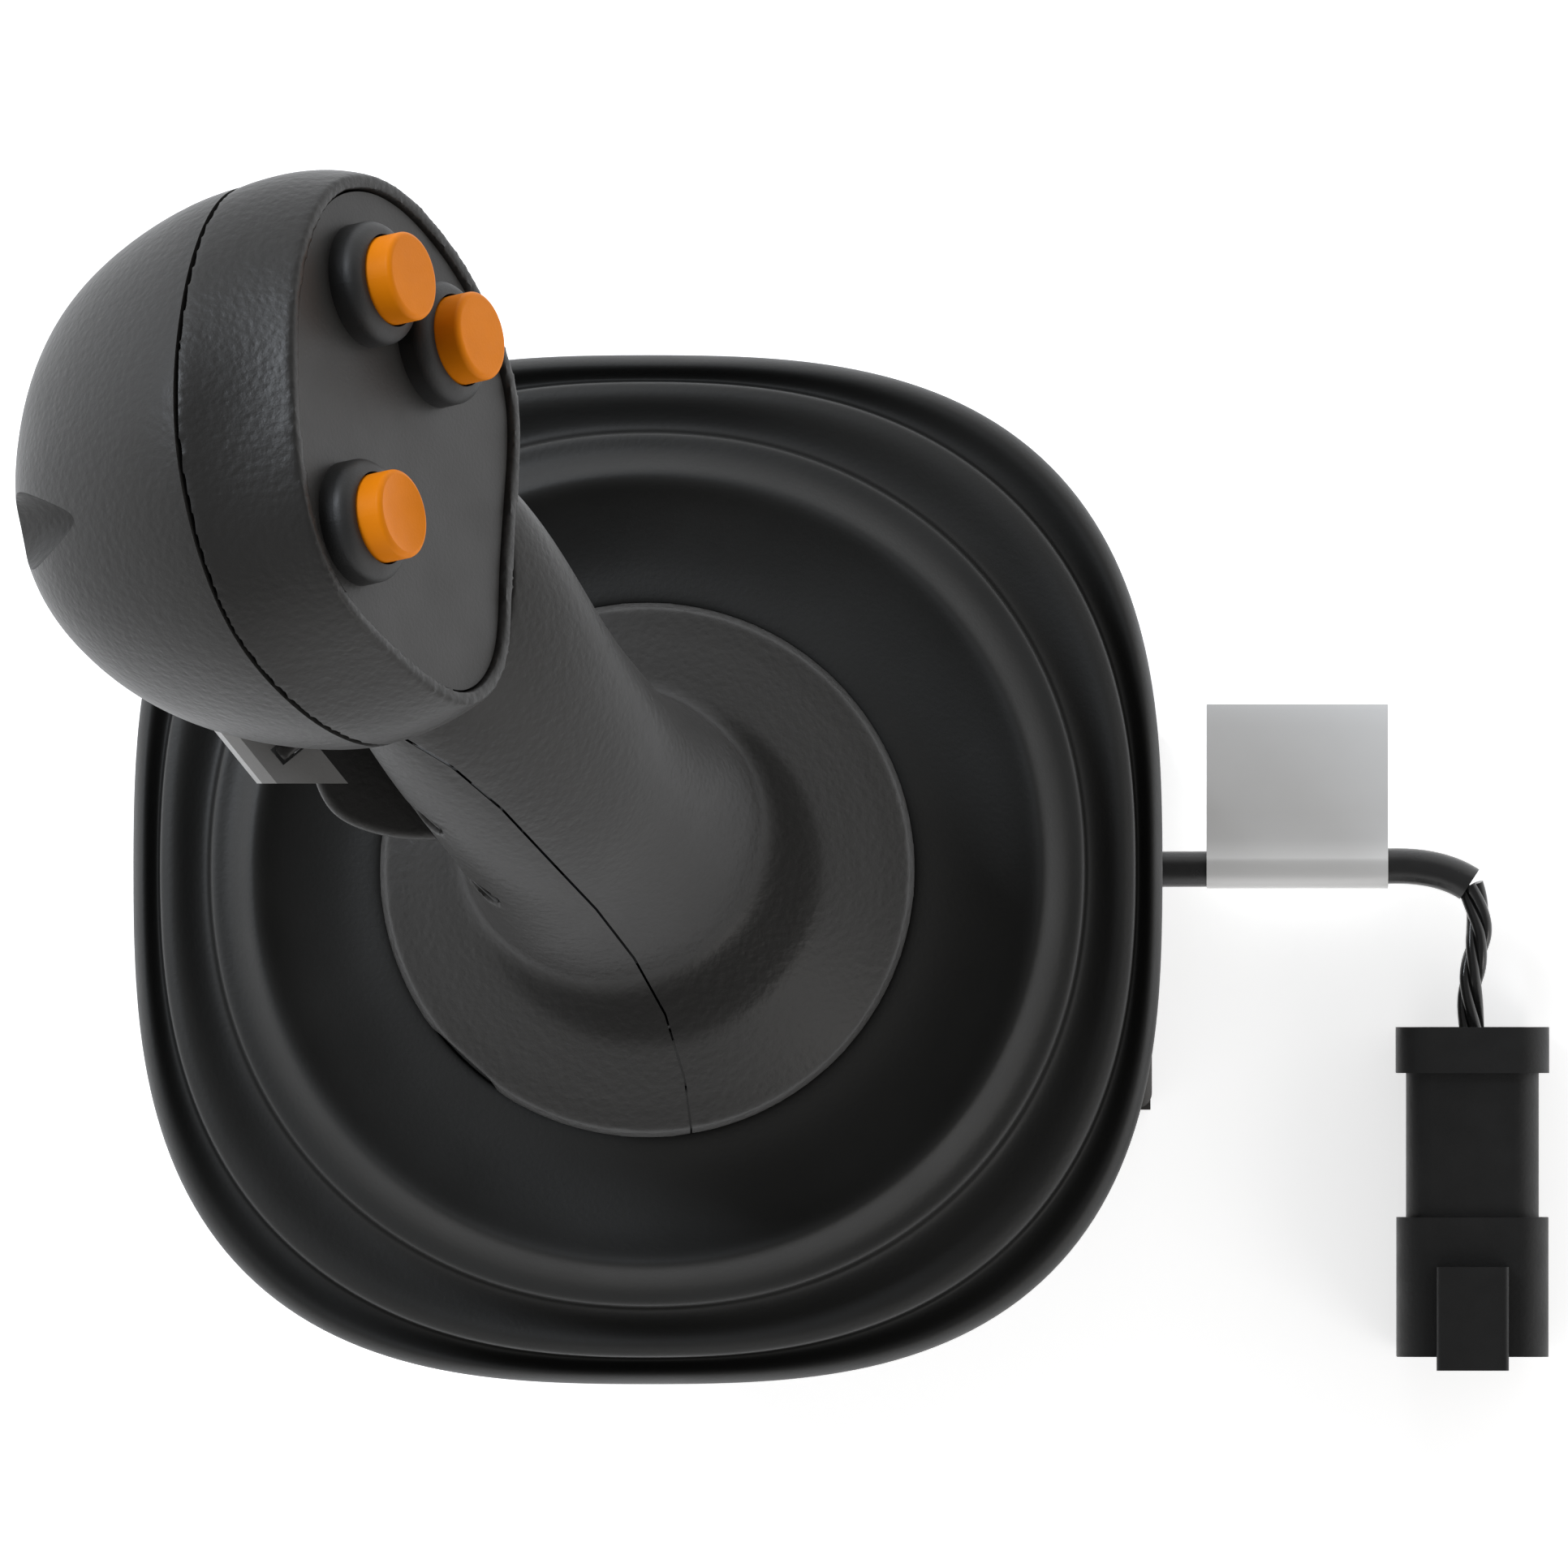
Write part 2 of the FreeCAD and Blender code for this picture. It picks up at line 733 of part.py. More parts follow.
def offsetRing(ring, distance):
    """A flat outline of (across, up) places moved outwards along its own normals."""
    moved = []
    count = len(ring)
    for k in range(count):
        before = ring[k - 1]
        after = ring[(k + 1) % count]
        along = (after[0] - before[0], after[1] - before[1])
        size = math.hypot(*along)
        moved.append((ring[k][0] - distance * along[1] / size, ring[k][1] + distance * along[0] / size))
    return moved


def headRing(ring, depth, scale=1.0):
    return [onHead(across * scale, up * scale, depth) for across, up in ring]


# Outlines in the panel's plane, going round from the +across tip: the button panel, and the widest seam.
panelOutline = [
    (36.3, 0.6), (33.3, -12.1), (27.2, -20.0), (18.0, -27.0), (5.0, -30.6), (-6.0, -26.4), (-19.9, -18.7),
    (-30.6, -12.0), (-33.8, -3.0), (-31.4, 5.0), (-25.0, 15.0), (-15.1, 25.0), (-3.5, 27.9), (10.5, 25.0),
    (22.7, 19.6), (32.0, 11.5),
]
seamOutline = [
    (40.0, 6.0), (38.6, -8.0), (32.5, -20.0), (22.0, -29.0), (8.0, -34.5), (-8.0, -32.5), (-22.0, -26.5),
    (-33.0, -18.0), (-38.8, -6.0), (-37.0, 7.5), (-29.5, 21.5), (-18.5, 32.0), (-3.5, 36.4), (11.0, 34.6),
    (23.5, 28.0), (34.0, 18.5),
]


def headFront(inset):
    """The head from its rim to the seam behind the panel."""
    rim = offsetRing(panelOutline, rimWidth - inset)
    mid = offsetRing(panelOutline, rimWidth + 1.6 - inset)
    seam = offsetRing(seamOutline, -inset)
    if inset > 0:
        rings = [headRing(rim, panelThick - 1), headRing(mid, 5.0), headRing(seam, seamDepth),
                 headRing(seam, seamDepth + 3)]
        return loft(rings, True)
    return loft([headRing(rim, inset - rimProud), headRing(mid, 4.0), headRing(seam, seamDepth)])


# The head cap's sections behind the seam: depth, and share of the seam's outline.
capLine = [(0.0, 1.0), (11.0, 0.955), (22.0, 0.85), (31.0, 0.70), (37.0, 0.52), (41.0, 0.28)]


def headDome(inset):
    rings = []
    for depth, share in capLine:
        rings.append(headRing(seamOutline, seamDepth + depth - inset * (share < 0.6), share - inset / 34))
    if inset > 0:
        rings[0] = headRing(seamOutline, seamDepth - 3, capLine[0][1] - inset / 34)
    return loft(rings, inset > 0)


def behindSeam(depth):
    """Everything behind a plane parallel to the panel."""
    face = Part.Face(Part.Wire(Part.makePolygon([
        onHead(-150, -150, depth), onHead(150, -150, depth), onHead(150, 150, depth),
        onHead(-150, 150, depth), onHead(-150, -150, depth)])))
    return face.extrude(panelNormal * -200)


# The seam between the two grip shells, as seen from above, from the skirt's rim up into the head.
shellSeam = [
    Vector(4.0, -60, 0), Vector(6.2, -38, 0), Vector(2.5, -20, 0), Vector(-7.0, -5.4, 0),
    Vector(-20.0, 8.5, 0), Vector(-33.0, 18.0, 0), Vector(-52.0, 36.0, 0), Vector(-80.0, 66.0, 0),
]


def fingerSide(shift):
    """The space on the finger side of the shell seam."""
    move = Vector(0.74 * shift, 0.67 * shift, 0)
    curve = Part.BSplineCurve()
    curve.interpolate([place + move for place in shellSeam])
    stops = [shellSeam[-1] + move, Vector(-140, 90, 0), Vector(-140, -90, 0), shellSeam[0] + move]
    edges = [curve.toShape()]
    for first, second in zip(stops, stops[1:]):
        edges.append(Part.LineSegment(first, second).toShape())
    face = Part.Face(Part.Wire(edges))
    return face.extrude(Z * 260)


shellScrewWay = Vector(0.67, 0.74, 0).normalize()
shellScrewSeats = [
    Vector(-10.4, 10.6, skirtLow + 33) - shellScrewWay * 16.6,
    Vector(-18.3, 20.6, skirtLow + 53) - shellScrewWay * 16.4,
]


def buildGripShells():
    outside = skirt(0).fuse(stalk(0))
    inside = skirt(gripWall).fuse(stalk(gripWall))
    opening = rod(shaftRadius + 9, Z * (skirtLow - 5), Z, 20)
    front = headFront(0)
    handle = outside.cut(inside).cut(opening)
    behind = behindSeam(seamDepth - seamGap / 2)
    capSpace = headDome(-seamGap)
    palm = handle.cut(fingerSide(seamGap / 2)).cut(capSpace)
    rimOpening = Part.Face(closedCurve(headRing(offsetRing(panelOutline, panelGap), -rimProud - 1)))
    rimOpening = rimOpening.extrude(panelNormal * -(panelThick + rimProud + 2.5))
    bezel = front.cut(headFront(gripWall)).cut(rimOpening).cut(behind).cut(stalk(gripWall))
    palm = palm.cut(headFront(gripWall)).fuse(bezel)
    finger = handle.common(fingerSide(-seamGap / 2)).cut(headFront(-seamGap)).cut(capSpace).cut(skirtNotch())
    for seat in shellScrewSeats:
        boss = rod(3.2, seat + shellScrewWay * 1.6, shellScrewWay, 40).common(inside)
        palm = palm.fuse(boss.cut(rod(1.4, seat, shellScrewWay, 14)))
        finger = finger.cut(rod(2.9, seat, shellScrewWay * -1, 9)).cut(rod(1.55, seat, shellScrewWay, 9))
        finger = finger.cut(rod(3.3, seat + shellScrewWay * 1.5, shellScrewWay, 30))
    ear = triggerEar(pinStart, 3.5, 4.6).common(fingerSide(-seamGap / 2)).cut(stalk(gripWall))
    finger = finger.fuse(ear.cut(headFront(-seamGap)).cut(capSpace))
    finger = finger.cut(rod(triggerPinRadius, triggerPinPlace - triggerAlong * 9, triggerAlong, 60))
    return palm, finger


def skirtNotch():
    """The shallow bite in the skirt's rim on the finger side."""
    low = skirtLow - 1
    places = [Vector(-29.6, -22.0, low), Vector(-21.7, -29.2, low), Vector(-20.9, -30.4, low),
              Vector(-22.4, -33.5, low), Vector(-33.0, -27.0, low)]
    return prism(places, Z * 8.5)


def largest(shape):
    return max(shape.Solids, key=lambda s: s.Volume)


# The open groove in the cap's far side: its blind end, its direction and its radius.
grooveEnd = panelCentre + Vector(-40.0, -8.4, 7.4)
grooveWay = Vector(-0.657, -0.14, -0.74).normalize()
grooveRadius = 5.4


def buildHeadCap():
    dome = headDome(0).cut(headDome(gripWall))
    dome = dome.common(behindSeam(seamDepth + seamGap / 2)).cut(stalk(-seamGap))
    seat = capScrewSeat()
    dome = dome.cut(triggerSpace())
    dome = dome.fuse(triggerEar(triggerLength + springRoom, 12.0, 26.0).common(headDome(0)))
    dome = dome.cut(rod(triggerPinRadius, triggerPinPlace, triggerAlong, triggerLength + 20))
    lining = rod(grooveRadius + gripWall, grooveEnd - grooveWay * gripWall, grooveWay, 45).common(headDome(0))
    dome = dome.fuse(lining).cut(rod(grooveRadius, grooveEnd, grooveWay, 45))
    dome = dome.fuse(rod(4.6, seat, panelNormal, 6).common(headDome(0)))
    dome = dome.cut(rod(3.1, seat, panelNormal * -1, 20))
    return largest(dome.cut(rod(1.6, seat + panelNormal * 10, panelNormal * -1, 20)))


def capScrewSeat():
    return onHead(-4.0, 6.0, seamDepth + 31)


def buildPanel():
    face = Part.Face(closedCurve(headRing(panelOutline, 0)))
    plate = face.extrude(panelNormal * -panelThick)
    for across, up in buttonPlaces:
        plate = plate.cut(rod(capRadius + slideGap, onHead(across, up, -1), panelNormal * -1, panelThick + 2))
    return plate


def buildPanelSeal():
    outer = Part.Face(closedCurve(headRing(offsetRing(panelOutline, -0.2), panelThick)))
    outer = outer.extrude(panelNormal * -1.2)
    inner = Part.Face(closedCurve(headRing(offsetRing(panelOutline, -3.0), panelThick - 1)))
    return outer.cut(inner.extrude(panelNormal * -4))


def buildBoots():
    boots = []
    for across, up in buttonPlaces:
        foot = onHead(across, up, 0)
        cup = rod(bootRadius, foot, panelNormal, bootHeight)
        cup = cup.makeFillet(2.3, rimAt(cup, foot + panelNormal * bootHeight))
        boots.append(cup.cut(rod(capRadius + slideGap, foot - panelNormal, panelNormal, bootHeight + 2)))
    return boots


def buildCap(index):
    across, up = buttonPlaces[index]
    foot = onHead(across, up, panelThick + 1.2)
    full = capHeight + panelThick + 1.2
    cap = rod(capRadius, foot, panelNormal, full)
    top = foot + panelNormal * full
    cap = cap.makeFillet(capEdge, rimAt(cap, top))
    if index == 2:
        dish = Part.makeSphere(22.0, top + panelNormal * 21.3)
        cap = cap.cut(dish)
    return cap


boardDepth = 13.0


def buildHeadBoard():
    ring = offsetRing(panelOutline, -6.0)
    face = Part.Face(closedCurve(headRing(ring, boardDepth)))
    return face.extrude(panelNormal * -1.6)


def buildSwitches():
    """A sealed switch under each button, on the head board."""
    switches = []
    low = panelThick + 1.2 + buttonTravel + 0.3
    for across, up in buttonPlaces:
        body = rod(5.0, onHead(across, up, boardDepth), panelNormal, boardDepth - low - 1.4)
        stem = rod(2.0, onHead(across, up, boardDepth - 0.5), panelNormal, boardDepth - low - 0.5)
        switches.append(body.fuse(stem).removeSplitter())
    return switches


def buildLoom():
    """The wires from the head board down through the stalk and the shaft."""
    route = [onHead(-9, -6, boardDepth + 4.2), Vector(-36, 40, skirtLow + 81),
             Vector(-11.6, 13, skirtLow + 53), Vector(0, 0, skirtLow + 29), Vector(0, 0, shaftLow + 2)]
    return buildTube(route, 1.9, "inner_loom")


# Clamp, finger rest, neck tie

def buildClamp():
    body = tube(13.0, shaftRadius + 0.02, Z * (skirtLow + 3), Z, 12)
    body = body.fuse(box((-19, -4.5, skirtLow + 3), (-8, 4.5, skirtLow + 15)))
    body = body.cut(rod(shaftRadius + 0.02, Z * skirtLow, Z, 20))
    body = body.cut(box((-20, -0.7, skirtLow + 2), (1 - shaftRadius, 0.7, skirtLow + 16)))
    return body.cut(rod(1.55, Vector(-16, -8, skirtLow + 9), Y, 16))


def buildNeckTie():
    """The band that closes the gaiter's neck on the shaft's sleeve."""
    inner = neckRadius + 0.55
    band = tube(inner + 1.2, inner, Z * (neckLow + 0.6), Z, 3.2)
    buckle = box((inner, -2.6, neckLow + 0.2), (inner + 3.0, 2.6, neckLow + 4.2))
    return band.fuse(buckle).cut(rod(inner, Z * (neckLow - 8), Z, 20))


def buildNeckSleeve():
    """The sleeve that carries the gaiter's neck and seats the grip."""
    top = skirtLow + 2.8
    outer = neckRadius - 2.2
    sleeve = tube(outer, shaftRadius + 0.02, Z * neckLow, Z, top - neckLow)
    hollow = tube(outer - 2.5, shaftRadius + 3.5, Z * (neckLow - 1), Z, 7.0)
    return sleeve.cut(hollow)


fingerRestHeight = skirtLow + 43.0


def buildFingerRest():
    """The thin hooked shelf between the trigger finger and the second finger."""
    low = fingerRestHeight
    outline = [Vector(-24, 5, low), Vector(-31.5, 4.2, low), Vector(-38.0, 5.2, low), Vector(-43.4, 8.0, low),
               Vector(-46.0, 13.0, low), Vector(-46.5, 20, low), Vector(-43, 28, low), Vector(-30, 26, low)]
    face = Part.Face(closedCurve(outline))
    plate = face.extrude(Z * 3.4)
    plate = plate.makeFillet(1.3, [e for e in plate.Edges if e.BoundBox.ZLength < 0.1])
    return largest(plate.cut(stalk(-0.1)))


# Trigger

triggerAlong = Vector(-0.63, 0.777, 0).normalize()
triggerOut = Vector(-0.777, -0.63, 0).normalize()
triggerTip = Vector(-42.6, 13.2, skirtLow + 72.0)
triggerEnd = 12.0


def onTrigger(along, out, up):
    return triggerTip + triggerAlong * along + triggerOut * out + Z * up


def prism(places, direction):
    return Part.Face(Part.makePolygon(places + places[:1])).extrude(direction)


triggerPinPlace = onTrigger(0, 1.8, 0)
pinStart = 6.0


def buildTrigger():
    """A blade with a flat top, hung on its pin, and a finger face that curves down from its outer edge."""
    wide = triggerReach
    places = [(-0.4, 1.9), (wide - 1.6, 1.9), (wide, 0.4), (wide + 0.6, -7),
              (wide - 0.7, -15), (wide + 0.6, -23), (wide - 0.4, -triggerDrop),
              (wide - 2.6, -triggerDrop + 1.8), (wide - 3.8, -15), (wide - 2.6, -7),
              (wide - 3.6, -1.3), (-0.4, -1.3)]
    section = [onTrigger(-6, out, up) for out, up in places]
    blade = prism(section, triggerAlong * (triggerLength + 6))
    start = pinStart + 3
    knuckle = rod(2.9, triggerPinPlace + triggerAlong * start, triggerAlong, triggerLength - start)
    blade = blade.fuse(knuckle).removeSplitter()
    bore = triggerPinRadius + runningGap
    blade = blade.cut(rod(bore, triggerPinPlace - triggerAlong * 9, triggerAlong, 60))
    notch = prism([onTrigger(-9, -2, 5), onTrigger(-9, 5, 5), onTrigger(-9, 5, -5), onTrigger(-9, -2, -5)],
                  triggerAlong * (9 + pinStart + 2.6))
    lid = box((-90, -20, triggerTip.z - 40), (-20, triggerEnd, triggerTip.z + 20))
    return blade.cut(notch.common(earSpace())).cut(lid)


def earSpace():
    """The room that the pin's lower ear takes, with a gap round it."""
    section = [onTrigger(pinStart - 0.3, -9, 3.9), onTrigger(pinStart - 0.3, 5.4, 3.9),
               onTrigger(pinStart - 0.3, 5.4, -3.9), onTrigger(pinStart - 0.3, -9, -3.9)]
    return prism(section, triggerAlong * 2.8)


earThick = 2.2
springRoom = 3.2


def triggerSpace():
    """The slot under the head that the trigger hangs in."""
    high = 4.6
    section = [onTrigger(-8, -9, high), onTrigger(-8, triggerReach + 1.6, high),
               onTrigger(-8, triggerReach + 1.6, -9), onTrigger(-8, -9, -9)]
    return prism(section, triggerAlong * (8 + triggerLength + springRoom + earThick + 1))


def buildTriggerPin():
    length = triggerLength + springRoom + earThick - pinStart
    return rod(triggerPinRadius, triggerPinPlace + triggerAlong * pinStart, triggerAlong, length)


def triggerEar(start, high, wide):
    """An ear that holds the trigger's pin: the near one is on the stalk, the far one on the head cap."""
    section = [onTrigger(start, -9, high), onTrigger(start, wide, high), onTrigger(start, wide, -3.5),
               onTrigger(start, -9, -3.5)]
    return prism(section, triggerAlong * earThick)


def buildTriggerSwitch():
    """The small switch behind the trigger's finger face, on the stalk."""
    places = [(-7.0, -12), (0.2, -12), (0.2, -19), (-7.0, -19)]
    body = prism([onTrigger(9, out, up) for out, up in places], triggerAlong * 8)
    button = rod(1.2, onTrigger(13, 0.1, -16), triggerOut, 1.9)
    return largest(body.cut(stalk(-0.05)).fuse(button).removeSplitter())


def buildTriggerSpring():
    return coilSpring(2.4, 0.3, triggerPinPlace + triggerAlong * (triggerLength + 0.4), triggerAlong, 0.75, 6)


def buildGripScrews():
    """Equal screws: two join the grip shells, one closes the clamp, one holds the head cap."""
    screws = [screw(seat, shellScrewWay, 1.4, 12, 2.6, 1.6) for seat in shellScrewSeats]
    screws.append(screw(Vector(-16, -4.5, skirtLow + 9), Y, 1.4, 12, 2.6, 1.6))
    screws.append(screw(capScrewSeat(), panelNormal, 1.4, 12, 2.6, 1.6))
    return screws


def main():
    os.makedirs("parts", exist_ok=True)
    save("base_housing", buildHousing())
    save("bottom_cover", buildBottomCover())
    save("bottom_seal", buildBottomSeal())
    save("bottom_screws", buildBottomScrews())
    save("mounting_flange", buildFlange())
    save("flange_screws", buildFlangeScrews())
    save("gate_plate", buildGate())
    save("gimbal_screws", buildGimbalScrews())
    save("bearing_blocks", buildBearingBlocks())
    save("pitch_bushes", buildPitchBushes())
    save("main_board", buildMainBoard())
    save("board_screws", buildBoardScrews())
    save("field_sensors", buildSensors())
    save("side_box", buildSideBox())
    save("side_box_cover", buildSideBoxCover())
    save("side_box_screws", buildSideBoxScrews())
    save("cable_gland", buildGland())
    save("gaiter", buildGaiter())
    save("gaiter_retainer", buildRetainer())
    save("cable_jacket", buildTube(cableRoute, cableRadius, "cable_jacket"))
    save("cable_wires", buildWires())
    save("cable_label", buildLabel())
    save("connector_body", buildConnectorBody())
    save("connector_seal", buildWireSeal())
    save("connector_lock", buildConnectorLock())
    save("connector_pins", buildPins())
    save("gimbal_ring", buildRing())
    save("pitch_pins", buildPitchPins())
    save("roll_bushes", buildRollBushes())
    save("pitch_magnet", buildPitchMagnet())
    save("pitch_spring", buildPitchSpring())
    save("roll_spring", buildRollSpring())
    save("lever_yoke", buildYoke())
    save("roll_pins", buildRollPins())
    save("lever_shaft", buildShaft())
    save("yoke_set_screw", buildSetScrew())
    save("magnet_holder", buildMagnetHolder())
    save("lever_magnet", buildLeverMagnet())
    save("neck_sleeve", buildNeckSleeve())
    save("neck_tie", buildNeckTie())
    save("grip_clamp", buildClamp())
    palm, finger = buildGripShells()
    save("palm_shell", largest(palm))
    save("finger_shell", largest(finger))
    save("grip_screws", buildGripScrews())
    save("finger_rest", buildFingerRest())
    save("head_cap", buildHeadCap())
    save("button_panel", buildPanel())
    save("panel_seal", buildPanelSeal())
    save("button_boots", buildBoots())
    save("head_board", buildHeadBoard())
    save("button_switches", buildSwitches())
    save("inner_loom", buildLoom())
    for index in range(len(buttonPlaces)):
        save("button_cap_" + str(index + 1), buildCap(index))
    save("trigger_blade", buildTrigger())
    save("trigger_pin", buildTriggerPin())
    save("trigger_switch", buildTriggerSwitch())
    save("trigger_spring", buildTriggerSpring())


main()
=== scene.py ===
import bmesh
import bpy
import json
import math
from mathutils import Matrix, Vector


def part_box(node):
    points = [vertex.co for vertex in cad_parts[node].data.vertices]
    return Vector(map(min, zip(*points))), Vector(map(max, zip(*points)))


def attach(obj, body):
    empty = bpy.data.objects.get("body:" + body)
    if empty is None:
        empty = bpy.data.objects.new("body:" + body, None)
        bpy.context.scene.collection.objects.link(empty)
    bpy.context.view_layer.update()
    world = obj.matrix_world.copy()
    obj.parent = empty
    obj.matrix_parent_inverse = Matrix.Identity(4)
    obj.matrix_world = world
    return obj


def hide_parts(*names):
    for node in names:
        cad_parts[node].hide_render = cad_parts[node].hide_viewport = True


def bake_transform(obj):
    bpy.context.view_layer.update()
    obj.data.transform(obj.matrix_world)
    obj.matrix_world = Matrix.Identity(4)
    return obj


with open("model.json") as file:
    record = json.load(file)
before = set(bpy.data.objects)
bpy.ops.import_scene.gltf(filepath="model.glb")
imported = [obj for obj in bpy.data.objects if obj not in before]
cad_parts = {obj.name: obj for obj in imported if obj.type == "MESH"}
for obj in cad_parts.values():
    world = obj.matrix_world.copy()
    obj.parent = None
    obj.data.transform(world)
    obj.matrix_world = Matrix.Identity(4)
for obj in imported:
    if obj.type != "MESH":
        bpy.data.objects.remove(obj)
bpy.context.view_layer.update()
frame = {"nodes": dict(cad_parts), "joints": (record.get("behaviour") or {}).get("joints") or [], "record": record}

mm = 0.001
nodes = frame["nodes"]
print("frame loaded,", len(nodes), "parts")


def clearSelection():
    if bpy.context.object and bpy.context.object.mode != "OBJECT":
        bpy.ops.object.mode_set(mode="OBJECT")
    bpy.ops.object.select_all(action="DESELECT")


def pick(piece):
    clearSelection()
    piece.select_set(True)
    bpy.context.view_layer.objects.active = piece


def applyModifiers(piece):
    pick(piece)
    for modifier in list(piece.modifiers):
        bpy.ops.object.modifier_apply(modifier=modifier.name)


def settle(piece):
    pick(piece)
    bpy.ops.object.transform_apply(location=True, rotation=True, scale=True)


def facesOutward(piece):
    pick(piece)
    bpy.ops.object.mode_set(mode="EDIT")
    bpy.ops.mesh.select_all(action="SELECT")
    bpy.ops.mesh.normals_make_consistent(inside=False)
    bpy.ops.object.mode_set(mode="OBJECT")


# Camera: straight above, far off with a long lens, so that upright walls stay hidden.
cameraSettings = {"place": (18.96, 11.93, 10374.0), "lens": 1700.0, "far": 14.0}


def makeCamera(settings):
    data = bpy.data.cameras.new("lookDown")
    data.lens = settings["lens"]
    data.sensor_width = 36.0
    data.clip_end = settings["far"]
    camera = bpy.data.objects.new("lookDown", data)
    camera.location = Vector(settings["place"]) * mm
    bpy.context.scene.collection.objects.link(camera)
    bpy.context.scene.camera = camera


makeCamera(cameraSettings)


# Finishes. Every pattern reads the object's own coordinates, in metres.
def newFinish(name):
    finish = bpy.data.materials.new(name)
    finish.use_nodes = True
    tree = finish.node_tree
    shader = tree.nodes["Principled BSDF"]
    place = tree.nodes.new("ShaderNodeTexCoord").outputs["Object"]
    return finish, tree, shader, place


def addNoise(tree, place, size, detail=2.0, stretch=None):
    noise = tree.nodes.new("ShaderNodeTexNoise")
    noise.inputs["Scale"].default_value = 1.0 / size
    noise.inputs["Detail"].default_value = detail
    if stretch:
        mapping = tree.nodes.new("ShaderNodeMapping")
        mapping.inputs["Scale"].default_value = stretch
        tree.links.new(place, mapping.inputs["Vector"])
        place = mapping.outputs["Vector"]
    tree.links.new(place, noise.inputs["Vector"])
    return noise.outputs["Fac"]


def addRange(tree, value, low, high, start=0.3, end=0.7):
    span = tree.nodes.new("ShaderNodeMapRange")
    span.inputs["From Min"].default_value = start
    span.inputs["From Max"].default_value = end
    span.inputs["To Min"].default_value = low
    span.inputs["To Max"].default_value = high
    tree.links.new(value, span.inputs["Value"])
    return span.outputs["Result"]


def addMix(tree, share, first, second):
    mix = tree.nodes.new("ShaderNodeMix")
    mix.data_type = "RGBA"
    tree.links.new(share, mix.inputs["Factor"])
    for socket, colour in ((mix.inputs[6], first), (mix.inputs[7], second)):
        if isinstance(colour, tuple):
            socket.default_value = (*colour, 1.0)
        else:
            tree.links.new(colour, socket)
    return mix.outputs[2]


def addBump(tree, height, depth, under=None):
    bump = tree.nodes.new("ShaderNodeBump")
    bump.inputs["Distance"].default_value = depth
    bump.inputs["Strength"].default_value = 1.0
    tree.links.new(height, bump.inputs["Height"])
    if under:
        tree.links.new(under, bump.inputs["Normal"])
    return bump.outputs["Normal"]


def moulded(name, look):
    # A moulded or painted skin: two close tones in soft patches, fine grain, uneven gloss.
    finish, tree, shader, place = newFinish(name)
    patch = addNoise(tree, place, look["patch"], 3.0)
    share = addRange(tree, patch, 0.0, 1.0)
    tree.links.new(addMix(tree, share, look["dark"], look["light"]), shader.inputs["Base Color"])
    smear = addNoise(tree, place, look["patch"] * 0.35, 4.0)
    tree.links.new(addRange(tree, smear, *look["rough"]), shader.inputs["Roughness"])
    grain = addNoise(tree, place, look["grain"], 3.0, look.get("stretch"))
    normal = addBump(tree, grain, look["depth"])
    if "pebble" in look:
        cells = tree.nodes.new("ShaderNodeTexVoronoi")
        cells.feature = "SMOOTH_F1"
        cells.inputs["Scale"].default_value = 1.0 / look["pebble"]
        tree.links.new(place, cells.inputs["Vector"])
        normal = addBump(tree, cells.outputs["Distance"], look["pebbleDepth"], normal)
    tree.links.new(normal, shader.inputs["Normal"])
    shader.inputs["Metallic"].default_value = look.get("metal", 0.0)
    shader.inputs["Specular IOR Level"].default_value = look.get("specular", 0.5)
    shader.inputs["Coat Weight"].default_value = look.get("coat", 0.0)
    shader.inputs["Coat Roughness"].default_value = look.get("coatRough", 0.2)
    return finish


